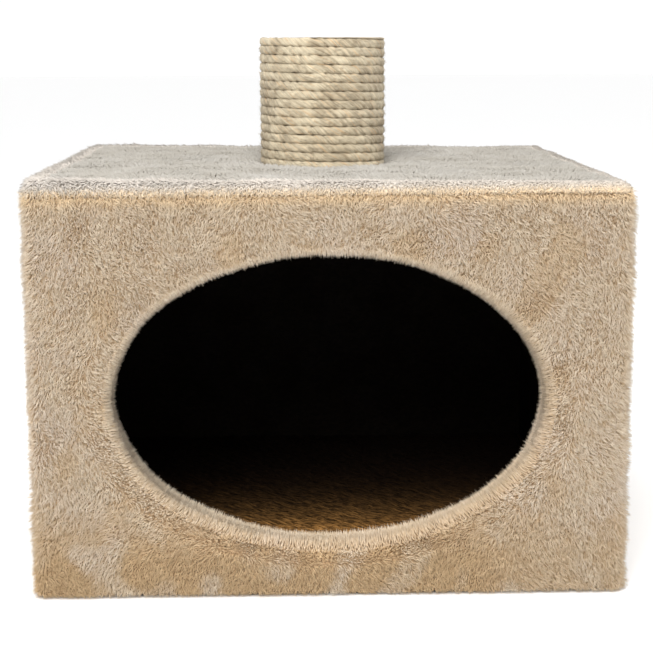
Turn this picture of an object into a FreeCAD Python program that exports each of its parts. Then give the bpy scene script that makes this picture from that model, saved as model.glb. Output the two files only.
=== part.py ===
"""Cat tree base: a plush-covered cave with an oval doorway and a sisal-wrapped scratching post.

The cave is a box of six particle boards, screwed together at their edges.  A sewn plush
cover is pulled over it, turned into the doorway and under the base, and stapled.  The post
is a cardboard tube with a wooden plug in each end.  Each plug holds a threaded insert: a
bolt from inside the cave holds the lower one, and the upper one takes the next tier.

Frame: millimetres, +Z up, the doorway faces -Y, origin at the centre of the underside.
"""

import FreeCAD
import Part
import math
import os
import re

V = FreeCAD.Vector
doc = FreeCAD.newDocument("cat_tree_base")

# ---------------------------------------------------------------- driving dimensions

DIMENSIONS = [
    ("cave_width", 376, "over the plush, left to right"),
    ("cave_depth", 360, "over the plush, front to back"),
    ("cave_height", 264, "floor to the plush of the top"),
    ("board", 12, "thickness of the particle boards"),
    ("cover", 6, "thickness of the plush, backing and pile"),
    ("felt", 1.5, "thickness of the felt under the base"),
    ("felt_inset", 3, "edge of the felt inside the edge of the cover"),
    ("hem", 2, "thickness of the cover turned under the base"),
    ("hem_width", 22, "how far the hem reaches in from the board's edge"),
    ("corner_radius", 8, "upright corners of the cover"),
    ("edge_radius", 5, "top edge of the cover"),
    ("seam_drop", 8, "seam of the top cover below the top of the plush"),
    ("seam_gap", 0.2, "between the edges sewn together"),
    ("door_side", 40, "front board left beside the doorway"),
    ("door_sill", 13, "front board left under the doorway"),
    ("door_head", 23.5, "front board left over the doorway"),
    ("lip_turn", 18, "cover turned onto the back of the front board"),
    ("lip_fold", 3, "thickness of that turned part"),
    ("floor_gap", 0.5, "around the floor cover, and under the turned lip"),
    ("post_length", 91, "end to end"),
    ("post_sink", 4, "how far the post presses into the plush of the top"),
    ("post_clearance", 0.3, "between the rope and the plush pressed aside"),
    ("tube_radius", 39, "outside of the cardboard tube"),
    ("tube_wall", 4, "cardboard tube"),
    ("plug_length", 25, "wooden plugs"),
    ("plug_gap", 0.1, "radial, plug in tube"),
    ("rope", 6, "diameter of the sisal rope"),
    ("rope_gap", 0.06, "between turns, and between rope and tube"),
    ("bolt_radius", 4, "M8"),
    ("bolt_grip", 34, "bolt under its head"),
    ("bolt_clearance", 0.5, "radial, bolt in the top board"),
    ("thread_clearance", 0.05, "radial, bolt in insert"),
    ("head_flats", 13, "across the flats of the bolt's head"),
    ("head_height", 5.3, "bolt's head"),
    ("washer_radius", 12, "washer under the bolt's head"),
    ("washer_height", 1.6, "washer"),
    ("insert_radius", 6, "outside of the threaded inserts"),
    ("insert_length", 20, "threaded inserts"),
    ("insert_gap", 0.05, "radial, insert in plug"),
    ("screw_radius", 1.75, "wood screws, shank"),
    ("screw_head", 3.5, "wood screws, radius of the countersunk head"),
    ("screw_length", 30, "wood screws"),
    ("wire", 0.7, "staple wire"),
    ("crown", 10, "staples, over the legs"),
    ("leg", 8, "staples"),
    ("rope_crown", 5, "staples that hold the rope's ends, over the legs"),
    ("rope_leg", 13, "staples that hold the rope's ends"),
]

sheet = doc.addObject("Spreadsheet::Sheet", "dims")
for row, (alias, value, note) in enumerate(DIMENSIONS, start=1):
    sheet.set("A%d" % row, alias)
    sheet.set("B%d" % row, str(value))
    sheet.set("C%d" % row, note)
    sheet.setAlias("B%d" % row, alias)
doc.recompute()


def size(alias):
    """A driving dimension's value, for shapes set in code."""
    return float(sheet.get(alias))


# Places worked out from the driving dimensions, as expressions.  Each name in them is a
# cell of the sheet, or a place above it in this table.
PLACES = [
    ("board_x", "cave_width / 2 - cover"),
    ("board_y", "cave_depth / 2 - cover"),
    ("inner_x", "board_x - board"),
    ("inner_y", "board_y - board"),
    ("base_bottom", "felt + hem"),
    ("base_top", "base_bottom + board"),
    ("deck_top", "cave_height - cover"),
    ("deck_bottom", "deck_top - board"),
    ("wall_height", "deck_bottom - base_top"),
    ("seam_height", "cave_height - seam_drop"),
    ("door_half_width", "board_x - door_side"),
    ("door_half_height", "(wall_height - door_sill - door_head) / 2"),
    ("door_height", "base_top + door_sill + door_half_height"),
    ("floor_top", "base_top + cover"),
    ("post_bottom", "cave_height - post_sink"),
    ("post_top", "post_bottom + post_length"),
    ("plug_radius", "tube_radius - tube_wall - plug_gap"),
    ("rope_path", "tube_radius + rope_gap + rope / 2"),
    ("rope_outside", "rope_path + rope / 2"),
    ("head_top", "deck_bottom - washer_height"),
]
first_place = len(DIMENSIONS) + 1
for row, (alias, formula) in enumerate(PLACES, start=first_place):
    sheet.set("A%d" % row, alias)
    sheet.set("B%d" % row, "=" + formula)
    sheet.setAlias("B%d" % row, alias)
doc.recompute()

ALIASES = "|".join(alias for alias, *rest in DIMENSIONS + PLACES)


def bound(formula):
    """A formula of aliases and numbers, with each alias read from the sheet."""
    return re.sub(r"\b(%s)\b" % ALIASES, r"dims.\1", formula)


# ---------------------------------------------------------------- building blocks


def bind(thing, **formulas):
    """Ties properties of an object to formulas, one for each name."""
    for name, formula in formulas.items():
        thing.setExpression(name, bound(formula))
    return thing


def place(thing, x="0", y="0", z="0", turn=None):
    """Puts an object at formulas for x, y and z, turned first by a rotation."""
    if turn is not None:
        thing.Placement = FreeCAD.Placement(V(0, 0, 0), turn)
    for axis, formula in (("x", x), ("y", y), ("z", z)):
        thing.setExpression("Placement.Base." + axis, bound(formula))
    return thing


def box(name, length, width, height, x, y, z):
    """A box of those sizes with its lowest corner at x, y, z."""
    made = bind(doc.addObject("Part::Box", name), Length=length, Width=width, Height=height)
    return place(made, x, y, z)


def slab(name, half_x, half_y, low, height):
    """A box centred on the Z axis."""
    return box(name, "2 * (%s)" % half_x, "2 * (%s)" % half_y, height,
               "-(%s)" % half_x, "-(%s)" % half_y, low)


def rod(name, radius, height, z, x="0", y="0"):
    """An upright cylinder that stands on z."""
    made = bind(doc.addObject("Part::Cylinder", name), Radius=radius, Height=height)
    return place(made, x, y, z)


def cut(name, base, *tools):
    """base without the tools."""
    tool = tools[0] if len(tools) == 1 else joined(name + "_tools", *tools)
    made = doc.addObject("Part::Cut", name)
    made.Base = base
    made.Tool = tool
    return made


def joined(name, *pieces):
    """The pieces fused into one."""
    made = doc.addObject("Part::MultiFuse", name)
    made.Shapes = list(pieces)
    return made


def shared(name, *pieces):
    """What the pieces have in common."""
    made = doc.addObject("Part::MultiCommon", name)
    made.Shapes = list(pieces)
    return made


def oval(name, half_width, half_height, front, length):
    """An elliptical prism round the doorway's axis, from y = front towards +Y."""
    outline = bind(doc.addObject("Part::Ellipse", name + "_outline"),
                   MajorRadius=half_width, MinorRadius=half_height)
    # Turned about X, the ellipse's own Y axis points up and its normal points to +Y.
    place(outline, "0", front, "door_height", FreeCAD.Rotation(V(1, 0, 0), -90))
    made = doc.addObject("Part::Extrusion", name)
    made.Base = outline
    made.DirMode = "Custom"
    made.Dir = V(0, 1, 0)
    made.Solid = True
    return bind(made, LengthFwd=length)


def copies(name, master, placements):
    """One node of separate, identical solids: the master's shape at each placement."""
    doc.recompute()
    made = doc.addObject("Part::Feature", name)
    solids = []
    for placement in placements:
        solid = master.Shape.copy()
        solid.Placement = placement.multiply(solid.Placement)
        solids.append(solid)
    made.Shape = Part.makeCompound(solids)
    return made


def rounded(name, base, radius, chosen):
    """base with the edges that chosen() picks rounded."""
    doc.recompute()
    made = doc.addObject("Part::Fillet", name)
    made.Base = base
    made.Edges = [(i, radius, radius) for i, edge in enumerate(base.Shape.Edges, start=1) if chosen(edge)]
    return made


def upright(edge):
    """True for a straight edge along Z."""
    low, high = edge.BoundBox.ZMin, edge.BoundBox.ZMax
    return high - low > edge.Length - 1e-6


subparts = []


def subpart(label, thing):
    """Marks a finished object as one sub-part, and names its file."""
    thing.Label = label
    subparts.append(thing)
    return thing


# ---------------------------------------------------------------- fasteners


def wood_screw():
    """A countersunk screw along +Z with its head's face at z = 0."""
    body = doc.addObject("PartDesign::Body", "wood_screw")
    profile = body.newObject("Sketcher::SketchObject", "screw_profile")
    plane = [f for f in body.Origin.OriginFeatures if f.Role == "XZ_Plane"][0]
    profile.AttachmentSupport = [(plane, "")]
    profile.MapMode = "FlatFace"
    shank, head, length = size("screw_radius"), size("screw_head"), size("screw_length")
    tip = 2 * shank
    corners = [
        V(0, 0, 0), V(head, 0, 0), V(shank, head - shank, 0),
        V(shank, length - tip, 0), V(0, length, 0),
    ]
    for start, end in zip(corners, corners[1:] + corners[:1]):
        profile.addGeometry(Part.LineSegment(start, end), False)
    turned = body.newObject("PartDesign::Revolution", "screw_turned")
    turned.Profile = profile
    turned.ReferenceAxis = (profile, ["V_Axis"])
    turned.Angle = 360
    body.Tip = turned
    return body


def staple(name, across, leg):
    """A staple with its crown along X at z = 0 and its legs along +Z."""
    bar = box(name + "_crown", across, "wire", "wire", "-(%s) / 2" % across, "-wire / 2", "0")
    left = box(name + "_left", "wire", "wire", leg, "-(%s) / 2" % across, "-wire / 2", "0")
    right = box(name + "_right", "wire", "wire", leg, "(%s) / 2 - wire" % across, "-wire / 2", "0")
    return joined(name, bar, left, right)


screw = wood_screw()
short_staple = staple("short_staple", "crown", "leg")
rope_staple = staple("rope_staple", "rope_crown", "rope_leg")

UP = FreeCAD.Rotation()
DOWN = FreeCAD.Rotation(V(1, 0, 0), 180)
TO_BACK = FreeCAD.Rotation(V(1, 0, 0), -90)
TO_FRONT = FreeCAD.Rotation(V(1, 0, 0), 90)


def spread(reach, count):
    """count places evenly spaced from -reach to reach."""
    return [reach * (2 * i / (count - 1) - 1) for i in range(count)]


def both(value):
    return (-value, value)


def screw_places():
    """Placements of the screws: through the front and back boards, the base and the top."""
    wall_x = size("board_x") - size("board") / 2
    wall_y = size("board_y") - size("board") / 2
    middle = size("base_top") + size("wall_height") / 2
    heights = [middle + z for z in spread(size("wall_height") / 2 - 30, 3)]
    front = [FreeCAD.Placement(V(x, -size("board_y"), z), TO_BACK) for x in both(wall_x) for z in heights]
    back = [FreeCAD.Placement(V(x, size("board_y"), z), TO_FRONT) for x in both(wall_x) for z in heights]
    side_y = spread(size("inner_y") - 62, 3)
    flat = [(x, y) for x in both(wall_x) for y in side_y]
    flat += [(x, y) for y in both(wall_y) for x in both(size("board_x") - 62)]
    base = [FreeCAD.Placement(V(x, y, size("base_bottom")), UP) for x, y in flat]
    deck = [FreeCAD.Placement(V(x, y, size("deck_top")), DOWN) for x, y in flat]
    return front, back, base, deck


def hem_staple_places():
    """Staples through the hem, midway along it, clear of the base screws."""
    inset = size("hem_width") * 0.72
    x, y = size("board_x") - inset, size("board_y") - inset
    along_x = spread(size("board_x") - 32, 7)
    along_y = spread(size("board_y") - 74, 5)
    quarter = FreeCAD.Rotation(V(0, 0, 1), 90)
    places = [FreeCAD.Placement(V(a, b, size("felt")), UP) for b in both(y) for a in along_x]
    return places + [FreeCAD.Placement(V(a, b, size("felt")), quarter) for a in both(x) for b in along_y]


def lip_staple_places():
    """Staples round the doorway, through the turned lip into the back of the front board."""
    a = size("door_half_width") + size("lip_turn") / 2
    b = size("door_half_height") + size("lip_turn") / 2
    y = -size("inner_y") + size("lip_fold")
    places = []
    for degrees in range(-30, 211, 20):
        t = math.radians(degrees)
        slope = math.degrees(math.atan2(b * math.cos(t), -a * math.sin(t)))
        turn = FreeCAD.Rotation(V(0, 1, 0), -slope).multiply(TO_FRONT)
        places.append(FreeCAD.Placement(V(a * math.cos(t), y, size("door_height") + b * math.sin(t)), turn))
    return places


def plug_staple_places():
    """Four staples at each plug, driven flush into the tube, crowns along the tube."""
    places = []
    middles = (size("post_bottom") + size("plug_length") / 2, size("post_top") - size("plug_length") / 2)
    for z in middles:
        for degrees in (45, 135, 225, 315):
            t = math.radians(degrees)
            r = size("tube_radius") - size("rope_gap")
            inwards = FreeCAD.Rotation(V(0, 0, 1), V(-math.cos(t), -math.sin(t), 0))
            crown_now = inwards.multVec(V(1, 0, 0))
            axis = V(-math.cos(t), -math.sin(t), 0)
            swing = math.degrees(math.atan2(axis.dot(crown_now.cross(V(0, 0, 1))), crown_now.dot(V(0, 0, 1))))
            turn = FreeCAD.Rotation(axis, swing).multiply(inwards)
            places.append(FreeCAD.Placement(V(r * math.cos(t), r * math.sin(t), z), turn))
    return places


front_screws, back_screws, base_screws, deck_screws = screw_places()
subpart("front_panel_screws", copies("front_panel_screws", screw, front_screws))
subpart("back_panel_screws", copies("back_panel_screws", screw, back_screws))
subpart("base_screws", copies("base_screws", screw, base_screws))
subpart("top_board_screws", copies("top_board_screws", screw, deck_screws))
subpart("hem_staples", copies("hem_staples", short_staple, hem_staple_places()))
subpart("lip_staples", copies("lip_staples", short_staple, lip_staple_places()))
subpart("plug_staples", copies("plug_staples", short_staple, plug_staple_places()))
fastener = {thing.Label: thing for thing in subparts}

# ---------------------------------------------------------------- boards of the cave


def boards():
    """Six particle boards.  The side boards stand between the front and back boards."""
    base = slab("base_blank", "board_x", "board_y", "base_bottom", "board")
    subpart("base_board", cut("base_board", base, fastener["base_screws"], fastener["hem_staples"]))

    front = box("front_blank", "2 * board_x", "board", "wall_height", "-board_x", "-board_y", "base_top")
    doorway = oval("doorway", "door_half_width", "door_half_height", "-board_y - 1", "board + 2")
    holes = [fastener[n] for n in ("front_panel_screws", "base_screws", "top_board_screws", "lip_staples")]
    subpart("front_panel", cut("front_panel", front, doorway, *holes))

    back = box("back_blank", "2 * board_x", "board", "wall_height", "-board_x", "inner_y", "base_top")
    holes = [fastener[n] for n in ("back_panel_screws", "base_screws", "top_board_screws")]
    subpart("back_panel", cut("back_panel", back, *holes))

    holes = [fastener[n] for n in ("front_panel_screws", "back_panel_screws", "base_screws", "top_board_screws")]
    for side, x in (("left", "-board_x"), ("right", "inner_x")):
        blank = box(side + "_blank", "board", "2 * inner_y", "wall_height", x, "-inner_y", "base_top")
        subpart(side + "_panel", cut(side + "_panel", blank, *holes))

    top = slab("top_blank", "board_x", "board_y", "deck_bottom", "board")
    bolt_hole = rod("top_bolt_hole", "bolt_radius + bolt_clearance", "board + 2", "deck_bottom - 1")
    subpart("top_board", cut("top_board", top, fastener["top_board_screws"], bolt_hole))


# ---------------------------------------------------------------- plush cover


def envelope():
    """The outside of the whole cover: a box with rounded upright corners and top edges."""
    block = slab("envelope_block", "cave_width / 2", "cave_depth / 2", "felt", "cave_height - felt")
    turned = rounded("envelope_corners", block, size("corner_radius"), upright)
    top = size("cave_height")

    def top_edge(edge):
        return edge.BoundBox.ZMin > top - 1e-6

    return rounded("envelope", turned, size("edge_radius"), top_edge)


def covers():
    """The sewn cover, cut as a front, two sides, a back and a top, and its hem and lip."""
    outside = envelope()
    wall = "seam_height - seam_gap - felt"

    front = box("front_cloth", "cave_width", "cover", wall, "-cave_width / 2", "-cave_depth / 2", "felt")
    front_hem = box("front_hem", "2 * board_x", "hem_width", "hem", "-board_x", "-board_y", "felt")
    reach = "inner_y - lip_fold"
    lip = oval("lip_outside", "door_half_width", "door_half_height", "-cave_depth / 2",
               "cave_depth / 2 - (%s)" % reach)
    fold = oval("fold_outside", "door_half_width + lip_turn", "door_half_height + lip_turn",
                "-inner_y", "lip_fold")
    clear = "floor_top + floor_gap"
    above_floor = box("above_floor", "cave_width", "cave_depth", "cave_height",
                      "-cave_width / 2", "-cave_depth / 2", clear)
    fold = shared("fold_trimmed", fold, above_floor)
    way_in = oval("way_in", "door_half_width - cover", "door_half_height - cover",
                  "-cave_depth / 2 - 1", "cave_depth / 2 + 1")
    cloth = joined("front_sewn", shared("front_round", outside, front), front_hem, lip, fold)
    staples = [fastener["hem_staples"], fastener["lip_staples"]]
    subpart("front_cover", cut("front_cover", cloth, way_in, *staples))

    back = box("back_cloth", "cave_width", "cover", wall, "-cave_width / 2", "board_y", "felt")
    back_hem = box("back_hem", "2 * board_x", "hem_width", "hem", "-board_x", "board_y - hem_width", "felt")
    cloth = joined("back_sewn", shared("back_round", outside, back), back_hem)
    subpart("back_cover", cut("back_cover", cloth, fastener["hem_staples"]))

    hem_y = "board_y - hem_width"
    for side, x, hem_x in (("left", "-cave_width / 2", "-board_x"), ("right", "board_x", "board_x - hem_width")):
        cloth = box(side + "_cloth", "cover", "2 * board_y", wall, x, "-board_y", "felt")
        hem = box(side + "_hem", "hem_width", "2 * (%s)" % hem_y, "hem", hem_x, "-(%s)" % hem_y, "felt")
        sewn = joined(side + "_sewn", cloth, hem)
        subpart(side + "_cover", cut(side + "_cover", sewn, fastener["hem_staples"]))

    lid = slab("lid_cloth", "cave_width / 2", "cave_depth / 2", "seam_height", "seam_drop")
    lid = shared("lid_round", outside, lid)
    under = slab("lid_under", "board_x", "board_y", "deck_bottom", "board")
    press = rod("post_press", "rope_outside + post_clearance", "post_sink + 1", "post_bottom")
    hole = rod("lid_bolt_hole", "bolt_radius + bolt_clearance", "cover + 2", "deck_top - 1")
    subpart("top_cover", cut("top_cover", lid, under, press, hole))

    subpart("floor_cover", slab("floor_cover", "inner_x - floor_gap", "inner_y - floor_gap", "base_top", "cover"))

    felt = slab("felt_blank", "cave_width / 2 - felt_inset", "cave_depth / 2 - felt_inset", "0", "felt")
    subpart("underside_felt", rounded("underside_felt", felt, size("corner_radius"), upright))


# ---------------------------------------------------------------- scratching post

ROPE_SIDES = 12  # corners of the rope's round section, all of them on its circle


def sisal():
    """The rope: a left-handed helix with both its ends at the back of the post."""
    body = doc.addObject("PartDesign::Body", "rope_body")
    section = body.newObject("Sketcher::SketchObject", "rope_section")
    plane = [f for f in body.Origin.OriginFeatures if f.Role == "YZ_Plane"][0]
    section.AttachmentSupport = [(plane, "")]
    section.MapMode = "FlatFace"
    # In this plane the sketch's X axis is the row's Y, so the section starts at the back.
    across, up = size("rope_path"), size("post_bottom") + size("rope") / 2 + size("rope_gap")
    corners = []
    for i in range(ROPE_SIDES):
        t = 2 * math.pi * (i + 0.5) / ROPE_SIDES
        corners.append(V(across + size("rope") / 2 * math.cos(t), up + size("rope") / 2 * math.sin(t), 0))
    for start, end in zip(corners, corners[1:] + corners[:1]):
        section.addGeometry(Part.LineSegment(start, end), False)
    path = body.newObject("PartDesign::AdditiveHelix", "rope_helix")
    path.Profile = section
    path.ReferenceAxis = (section, ["V_Axis"])
    path.Mode = "height-turns-angle"
    path.LeftHanded = True
    room = size("post_length") - size("rope") - 2 * size("rope_gap")
    path.Turns = math.floor(room / (size("rope") + size("rope_gap")))
    bind(path, Height="post_length - rope - 2 * rope_gap")
    body.Tip = path
    return body


def rope_staple_places():
    """One staple near each end of the rope, at the back, its crown along the rope."""
    crown_y = size("rope_outside") - size("wire")
    low = size("post_bottom") + size("rope") / 2 + size("rope_gap")
    high = size("post_top") - size("rope") / 2 - size("rope_gap")
    back = size("rope_crown")
    # The rope climbs clockwise seen from above, so its low end runs on to +X and its high end comes from -X.
    return [
        FreeCAD.Placement(V(back, crown_y, low), TO_FRONT),
        FreeCAD.Placement(V(-back, crown_y, high), TO_FRONT),
    ]


def post():
    """The cardboard tube, its plugs and inserts, the rope, and the bolt that holds it."""
    end_staples = copies("rope_staples", rope_staple, rope_staple_places())
    tube = rod("tube_outside", "tube_radius", "post_length", "post_bottom")
    bore = rod("tube_inside", "tube_radius - tube_wall", "post_length + 2", "post_bottom - 1")
    subpart("post_tube", cut("post_tube", tube, bore, fastener["plug_staples"], end_staples))
    subpart("rope_staples", end_staples)

    for end, low, insert_low in (
        ("bottom", "post_bottom", "post_bottom"),
        ("top", "post_top - plug_length", "post_top - insert_length"),
    ):
        blank = rod(end + "_plug_blank", "plug_radius", "plug_length", low)
        hole = rod(end + "_plug_hole", "insert_radius + insert_gap", "plug_length + 2", low + " - 1")
        subpart(end + "_plug", cut(end + "_plug", blank, hole, fastener["plug_staples"], end_staples))
        barrel = rod(end + "_insert_barrel", "insert_radius", "insert_length", insert_low)
        thread = rod(end + "_insert_thread", "bolt_radius + thread_clearance", "insert_length + 2",
                     insert_low + " - 1")
        subpart(end + "_insert", cut(end + "_insert", barrel, thread))

    subpart("sisal_rope", cut("sisal_rope", sisal(), end_staples))

    washer = rod("washer_blank", "washer_radius", "washer_height", "head_top")
    eye = rod("washer_eye", "bolt_radius + bolt_clearance", "washer_height + 2", "head_top - 1")
    subpart("post_washer", cut("post_washer", washer, eye))

    head = doc.addObject("Part::Prism", "bolt_head")
    head.Polygon = 6
    # A hexagon's corner radius is its width across flats over the square root of three.
    bind(head, Circumradius="head_flats / sqrt(3)", Height="head_height")
    place(head, "0", "0", "head_top - head_height")
    shank = rod("bolt_shank", "bolt_radius", "bolt_grip + 1", "head_top - 1")
    subpart("post_bolt", joined("post_bolt", head, shank))


# ---------------------------------------------------------------- build, check, write

boards()
covers()
post()
doc.recompute()

for thing in doc.Objects:
    bad = {"Invalid", "Error"} & set(thing.State)
    if bad:
        raise RuntimeError("%s (%s) is %s" % (thing.Name, thing.Label, sorted(bad)))

os.makedirs("parts", exist_ok=True)
for thing in subparts:
    shape = thing.Shape
    if shape.isNull() or not shape.isValid() or not shape.Solids:
        raise RuntimeError("%s has no valid solid" % thing.Label)
    solids = shape.Solids
    whole = solids[0] if len(solids) == 1 else Part.makeCompound(solids)
    whole.exportStep(os.path.join("parts", thing.Label + ".step"))
    extent = whole.BoundBox
    print("%-20s %2d solid(s) %10.1f mm3   z %.2f to %.2f" % (
        thing.Label, len(solids), whole.Volume, extent.ZMin, extent.ZMax))
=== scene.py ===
"""The looks of a cat tree's base: a plush-covered cave with an oval doorway and a sisal post on it.

Each piece is made by one operator, in metres, in the frame of the packed model.  The plush is
a cloth sheet pulled over the boards with a pile of small tufts standing on it.  The rope is
three twisted strands wound round the post.
"""

import math

import bpy
import numpy as np
from mathutils import Matrix, Vector


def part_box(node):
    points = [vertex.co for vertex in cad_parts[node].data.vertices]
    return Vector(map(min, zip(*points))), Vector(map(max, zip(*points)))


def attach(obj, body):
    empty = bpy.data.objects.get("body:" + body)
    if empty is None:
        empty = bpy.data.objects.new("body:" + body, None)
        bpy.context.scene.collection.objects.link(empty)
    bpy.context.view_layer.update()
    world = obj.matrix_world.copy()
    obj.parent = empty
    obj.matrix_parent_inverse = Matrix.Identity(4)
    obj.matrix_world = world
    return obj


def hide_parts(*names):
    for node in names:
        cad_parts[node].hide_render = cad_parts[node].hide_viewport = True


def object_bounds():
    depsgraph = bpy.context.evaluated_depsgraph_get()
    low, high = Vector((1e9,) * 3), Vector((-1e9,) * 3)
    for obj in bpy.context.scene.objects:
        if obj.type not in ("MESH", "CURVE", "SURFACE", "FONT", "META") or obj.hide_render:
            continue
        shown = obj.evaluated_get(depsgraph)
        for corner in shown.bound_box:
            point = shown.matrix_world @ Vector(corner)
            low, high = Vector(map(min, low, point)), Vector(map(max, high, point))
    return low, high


bl_info = {
    "name": "Cat Tree Base",
    "version": (1, 0, 0),
    "blender": (4, 5, 0),
    "location": "3D View > Sidebar > Cat Tree",
    "description": "Makes the plush cave and the sisal post of a cat tree round its packed frame",
    "category": "Add Mesh",
}

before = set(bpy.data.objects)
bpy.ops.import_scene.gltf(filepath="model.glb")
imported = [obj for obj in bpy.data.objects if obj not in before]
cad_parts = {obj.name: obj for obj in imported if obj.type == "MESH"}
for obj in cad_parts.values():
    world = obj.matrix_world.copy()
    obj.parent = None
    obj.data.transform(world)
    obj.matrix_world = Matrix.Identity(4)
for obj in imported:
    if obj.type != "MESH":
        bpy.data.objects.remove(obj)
CAD_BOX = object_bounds()

MM = 0.001
TURN = 2 * math.pi

# ---------------------------------------------------------------- places read from the frame


def edges(node):
    """The lowest and highest corner of a CAD node, as arrays."""
    low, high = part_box(node)
    return np.array(low), np.array(high)


LID_LOW, LID_HIGH = edges("top_cover")
FRONT_LOW, FRONT_HIGH = edges("front_cover")
BOARD_LOW, BOARD_HIGH = edges("front_panel")
BASE_LOW, BASE_HIGH = edges("base_board")
FLOOR_LOW, FLOOR_HIGH = edges("floor_cover")
FELT_LOW, FELT_HIGH = edges("underside_felt")
ROPE_LOW, ROPE_HIGH = edges("sisal_rope")
TUBE_LOW, TUBE_HIGH = edges("post_tube")

HALF_X = LID_HIGH[0]
HALF_Y = LID_HIGH[1]
BOARD_X = BOARD_HIGH[0]
BOARD_Y = BASE_HIGH[1]
COVER = HALF_X - BOARD_X
CLOTH = 4 * MM  # the cloth's face stands this far off the boards, and the pile the rest
CLOTH_THICK = 2.4 * MM
WALL_INSET = COVER - CLOTH
CORNER = 8 * MM  # upright corners, where the CAD cover has its face
WALL_LOW = FRONT_LOW[2]
SEAM_LOW = FRONT_HIGH[2]
SEAM_HIGH = LID_LOW[2]
LID_TOP = LID_HIGH[2] - COVER + CLOTH
POST_RADIUS = ROPE_HIGH[0]

# The doorway in the front board leaves DOOR_SIDE beside it, DOOR_SILL under it and DOOR_HEAD over it.
DOOR_SIDE, DOOR_SILL, DOOR_HEAD = 40 * MM, 13 * MM, 23.5 * MM
LIP_CLOTH = 3 * MM  # the cloth of the lip is pulled tighter over the board's edge
DOOR_A = BOARD_X - DOOR_SIDE - LIP_CLOTH
DOOR_B = (BOARD_HIGH[2] - BOARD_LOW[2] - DOOR_SILL - DOOR_HEAD) / 2 - LIP_CLOTH
DOOR_Z = BOARD_LOW[2] + DOOR_SILL + DOOR_B + LIP_CLOTH
DOOR_ROLL = 5 * MM  # radius of the cloth where it turns into the doorway


# ---------------------------------------------------------------- settings


def length(name, description, default):
    """A length in metres for a settings panel."""
    return bpy.props.FloatProperty(
        name=name, description=description, default=default, min=0, precision=5, subtype="DISTANCE", unit="LENGTH"
    )


def colour(name, description, default):
    """A linear colour for a settings panel."""
    return bpy.props.FloatVectorProperty(
        name=name, description=description, default=default, size=4, min=0, max=1, subtype="COLOR"
    )


def number(name, description, default):
    """A plain factor for a settings panel."""
    return bpy.props.FloatProperty(name=name, description=description, default=default, min=0)


class CatTreePlush(bpy.types.PropertyGroup):
    """The plush cover"""

    pile: length("Pile", "Length of a tuft on the walls", 5.8 * MM)
    top_pile: length("Top pile", "Length of a tuft on the top, which is pressed flatter", 4.5 * MM)
    fine: length("Fine spacing", "Between tufts on the front", 0.76 * MM)
    coarse: length("Coarse spacing", "Between tufts on the sides, the back and the top", 1.50 * MM)
    lock: length("Lock", "Width of the locks that the tufts gather in", 1.8 * MM)
    root: colour("Root", "Colour deep in the pile", (0.52, 0.36, 0.205, 1))
    tip: colour("Tip", "Colour of the tips", (0.99, 0.90, 0.75, 1))
    tan: colour("Tan", "Colour of the warm patches", (0.90, 0.69, 0.43, 1))
    cream: colour("Cream", "Colour of the pale patches", (0.98, 0.91, 0.84, 1))
    # The top is the walls' plush, made greyer and darker here: painted shade for the light from overhead and the nap
    # seen along it.
    top_root: colour("Top root", "Colour deep in the pile of the top", (0.42, 0.385, 0.335, 1))
    top_tip: colour("Top tip", "Colour of the tips on the top", (0.51, 0.485, 0.44, 1))
    top_pale: colour("Top pale", "Colour of the palest tips on the top", (0.61, 0.59, 0.555, 1))
    # The top's edge is the walls' plush in a greyer copy, with painted light and shade.
    edge_root: colour("Edge root", "Colour deep in the pile of the top's edge", (0.56, 0.51, 0.45, 1))
    edge_tip: colour("Edge tip", "Colour of the tips on the top's edge", (0.62, 0.573, 0.522, 1))
    # The floor's near-black root also stands for the cave's dark inside: painted shade.
    floor_root: colour("Floor root", "Colour deep in the floor's pile", (0.008, 0.004, 0.002, 1))
    floor_tip: colour("Floor tip", "Colour of the tips on the floor", (0.78, 0.39, 0.115, 1))


class CatTreeRope(bpy.types.PropertyGroup):
    """The sisal rope"""

    turns: number("Turns", "Whole turns that the CAD rope makes round the post", 14)
    lay: length("Lay", "Length in which a strand goes once round the rope", 22 * MM)
    strand: length("Strand", "Radius of one of the three strands", 2.2 * MM)
    straw: colour("Straw", "Colour of the fibres", (0.24, 0.175, 0.10, 1))
    pale: colour("Pale", "Colour of the bleached fibres", (0.735, 0.645, 0.465, 1))
    rust: colour("Rust", "Colour of the few brown fibres", (0.50, 0.30, 0.13, 1))
    # Painted shade: the colour that the rope turns to between its strands and towards the post.
    painted_groove_shade: colour("Groove", "Colour between the strands", (0.24, 0.16, 0.08, 1))


class CatTreeStudio(bpy.types.PropertyGroup):
    """The stage"""

    sky: number("Sky", "Strength of the even light all round", 1.05)
    key: number("Key", "Strength of the large soft light overhead, in watts", 3.0)
    fill: number("Fill", "Strength of the soft light from above the front, in watts", 62.0)
    floor: colour("Floor", "Colour of the floor", (0.93, 0.93, 0.93, 1))


def settings(group):
    """The scene's settings of one group."""
    return getattr(bpy.context.scene, "cat_tree_" + group)


# ---------------------------------------------------------------- noise


def waves(points, span, seed):
    """Smooth noise of about -1 to 1: twelve plane waves of lengths about span, added up."""
    draw = np.random.default_rng(seed)
    total = np.zeros(len(points))
    for _ in range(12):
        across = draw.normal(size=3)
        across *= TURN / span * draw.uniform(0.7, 1.5) / np.linalg.norm(across)
        total += np.sin(points @ across + draw.uniform(0, TURN))
    return total / math.sqrt(12)


def jittered(width, height, spacing, seed):
    """Points spread evenly over a rectangle: one in each square cell, moved about inside it."""
    draw = np.random.default_rng(seed)
    across, up = max(int(width / spacing), 1), max(int(height / spacing), 1)
    column, row = np.meshgrid(np.arange(across), np.arange(up), indexing="ij")
    shift = draw.uniform(0.02, 0.98, (2, across, up))
    return ((column + shift[0]) / across * width).ravel(), ((row + shift[1]) / up * height).ravel()


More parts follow.
